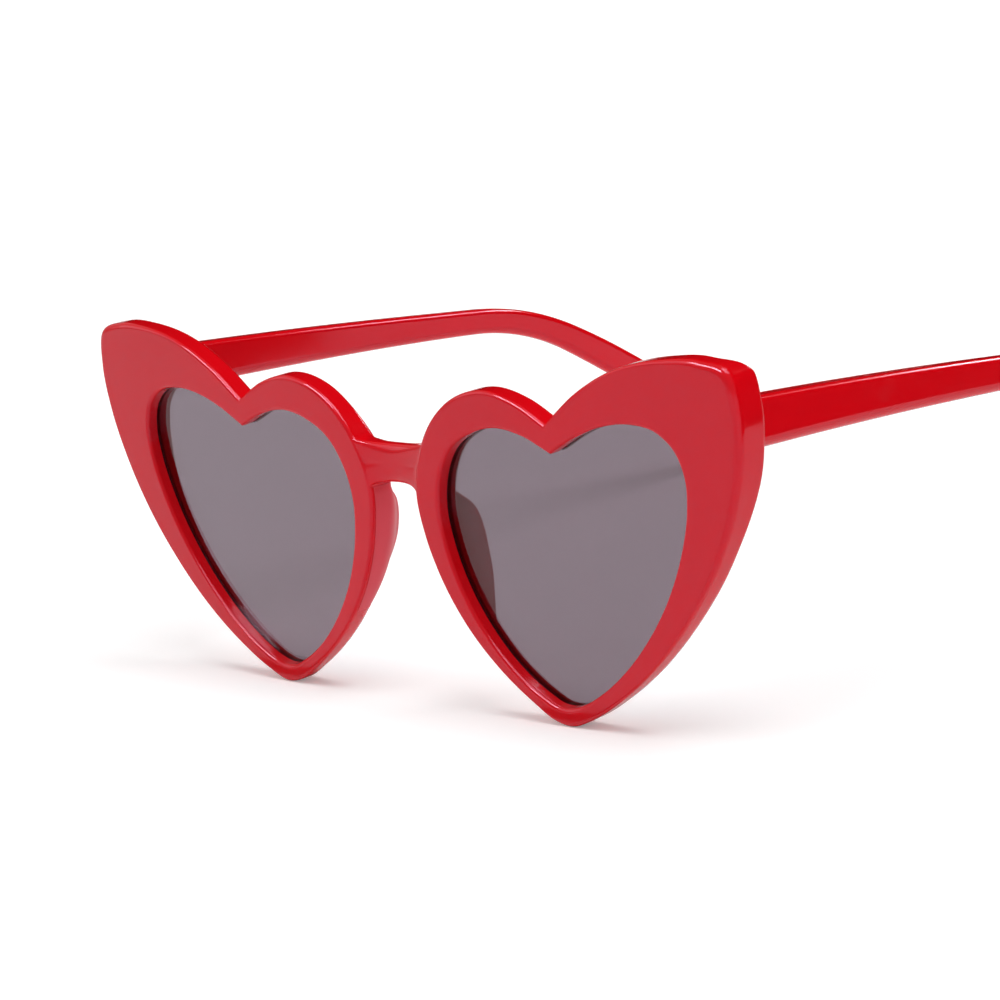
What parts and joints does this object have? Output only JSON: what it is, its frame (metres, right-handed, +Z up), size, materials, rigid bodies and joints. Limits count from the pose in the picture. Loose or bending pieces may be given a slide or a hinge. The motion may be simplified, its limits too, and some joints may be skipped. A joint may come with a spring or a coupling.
{
  "type": "sunglasses",
  "caption": "Heart-shaped cat-eye sunglasses: one-piece glossy front, grey tinted lenses in grooves, bonded nose pads, folding temples on barrel hinges.",
  "frame": {"origin": "on the table, under the middle of the box of the open sunglasses", "axes": "+X to the wearer's left, +Y from the front back to the ears, +Z up"},
  "size_m": [0.147, 0.1501, 0.0581],
  "materials": {
    "frame_plastic": "polished red acetate",
    "lens_tint": "grey tint, polished",
    "hinge_metal": "satin nickel silver",
    "screw_steel": "bright"
  },
  "bodies": {
    "front": {"front_frame": "frame_plastic", "left_lens": "lens_tint", "right_lens": "lens_tint", "left_nose_pad": "frame_plastic", "right_nose_pad": "frame_plastic", "left_front_hinge_leaf": "hinge_metal", "right_front_hinge_leaf": "hinge_metal", "left_hinge_screw": "screw_steel", "right_hinge_screw": "screw_steel"},
    "left_arm": {"left_temple": "frame_plastic", "left_temple_hinge_leaf": "hinge_metal"},
    "right_arm": {"right_temple": "frame_plastic", "right_temple_hinge_leaf": "hinge_metal"}
  },
  "joints": [
    {"name": "left_temple_hinge", "type": "hinge", "parent": "front", "child": "left_arm", "pos_m": [0.0675, -0.06559, 0.0479], "axis": [0, 0, 1], "range_deg": [0, 90]},
    {"name": "right_temple_hinge", "type": "hinge", "parent": "front", "child": "right_arm", "pos_m": [-0.0675, -0.06559, 0.0479], "axis": [0, 0, -1], "range_deg": [0, 85]}
  ]
}
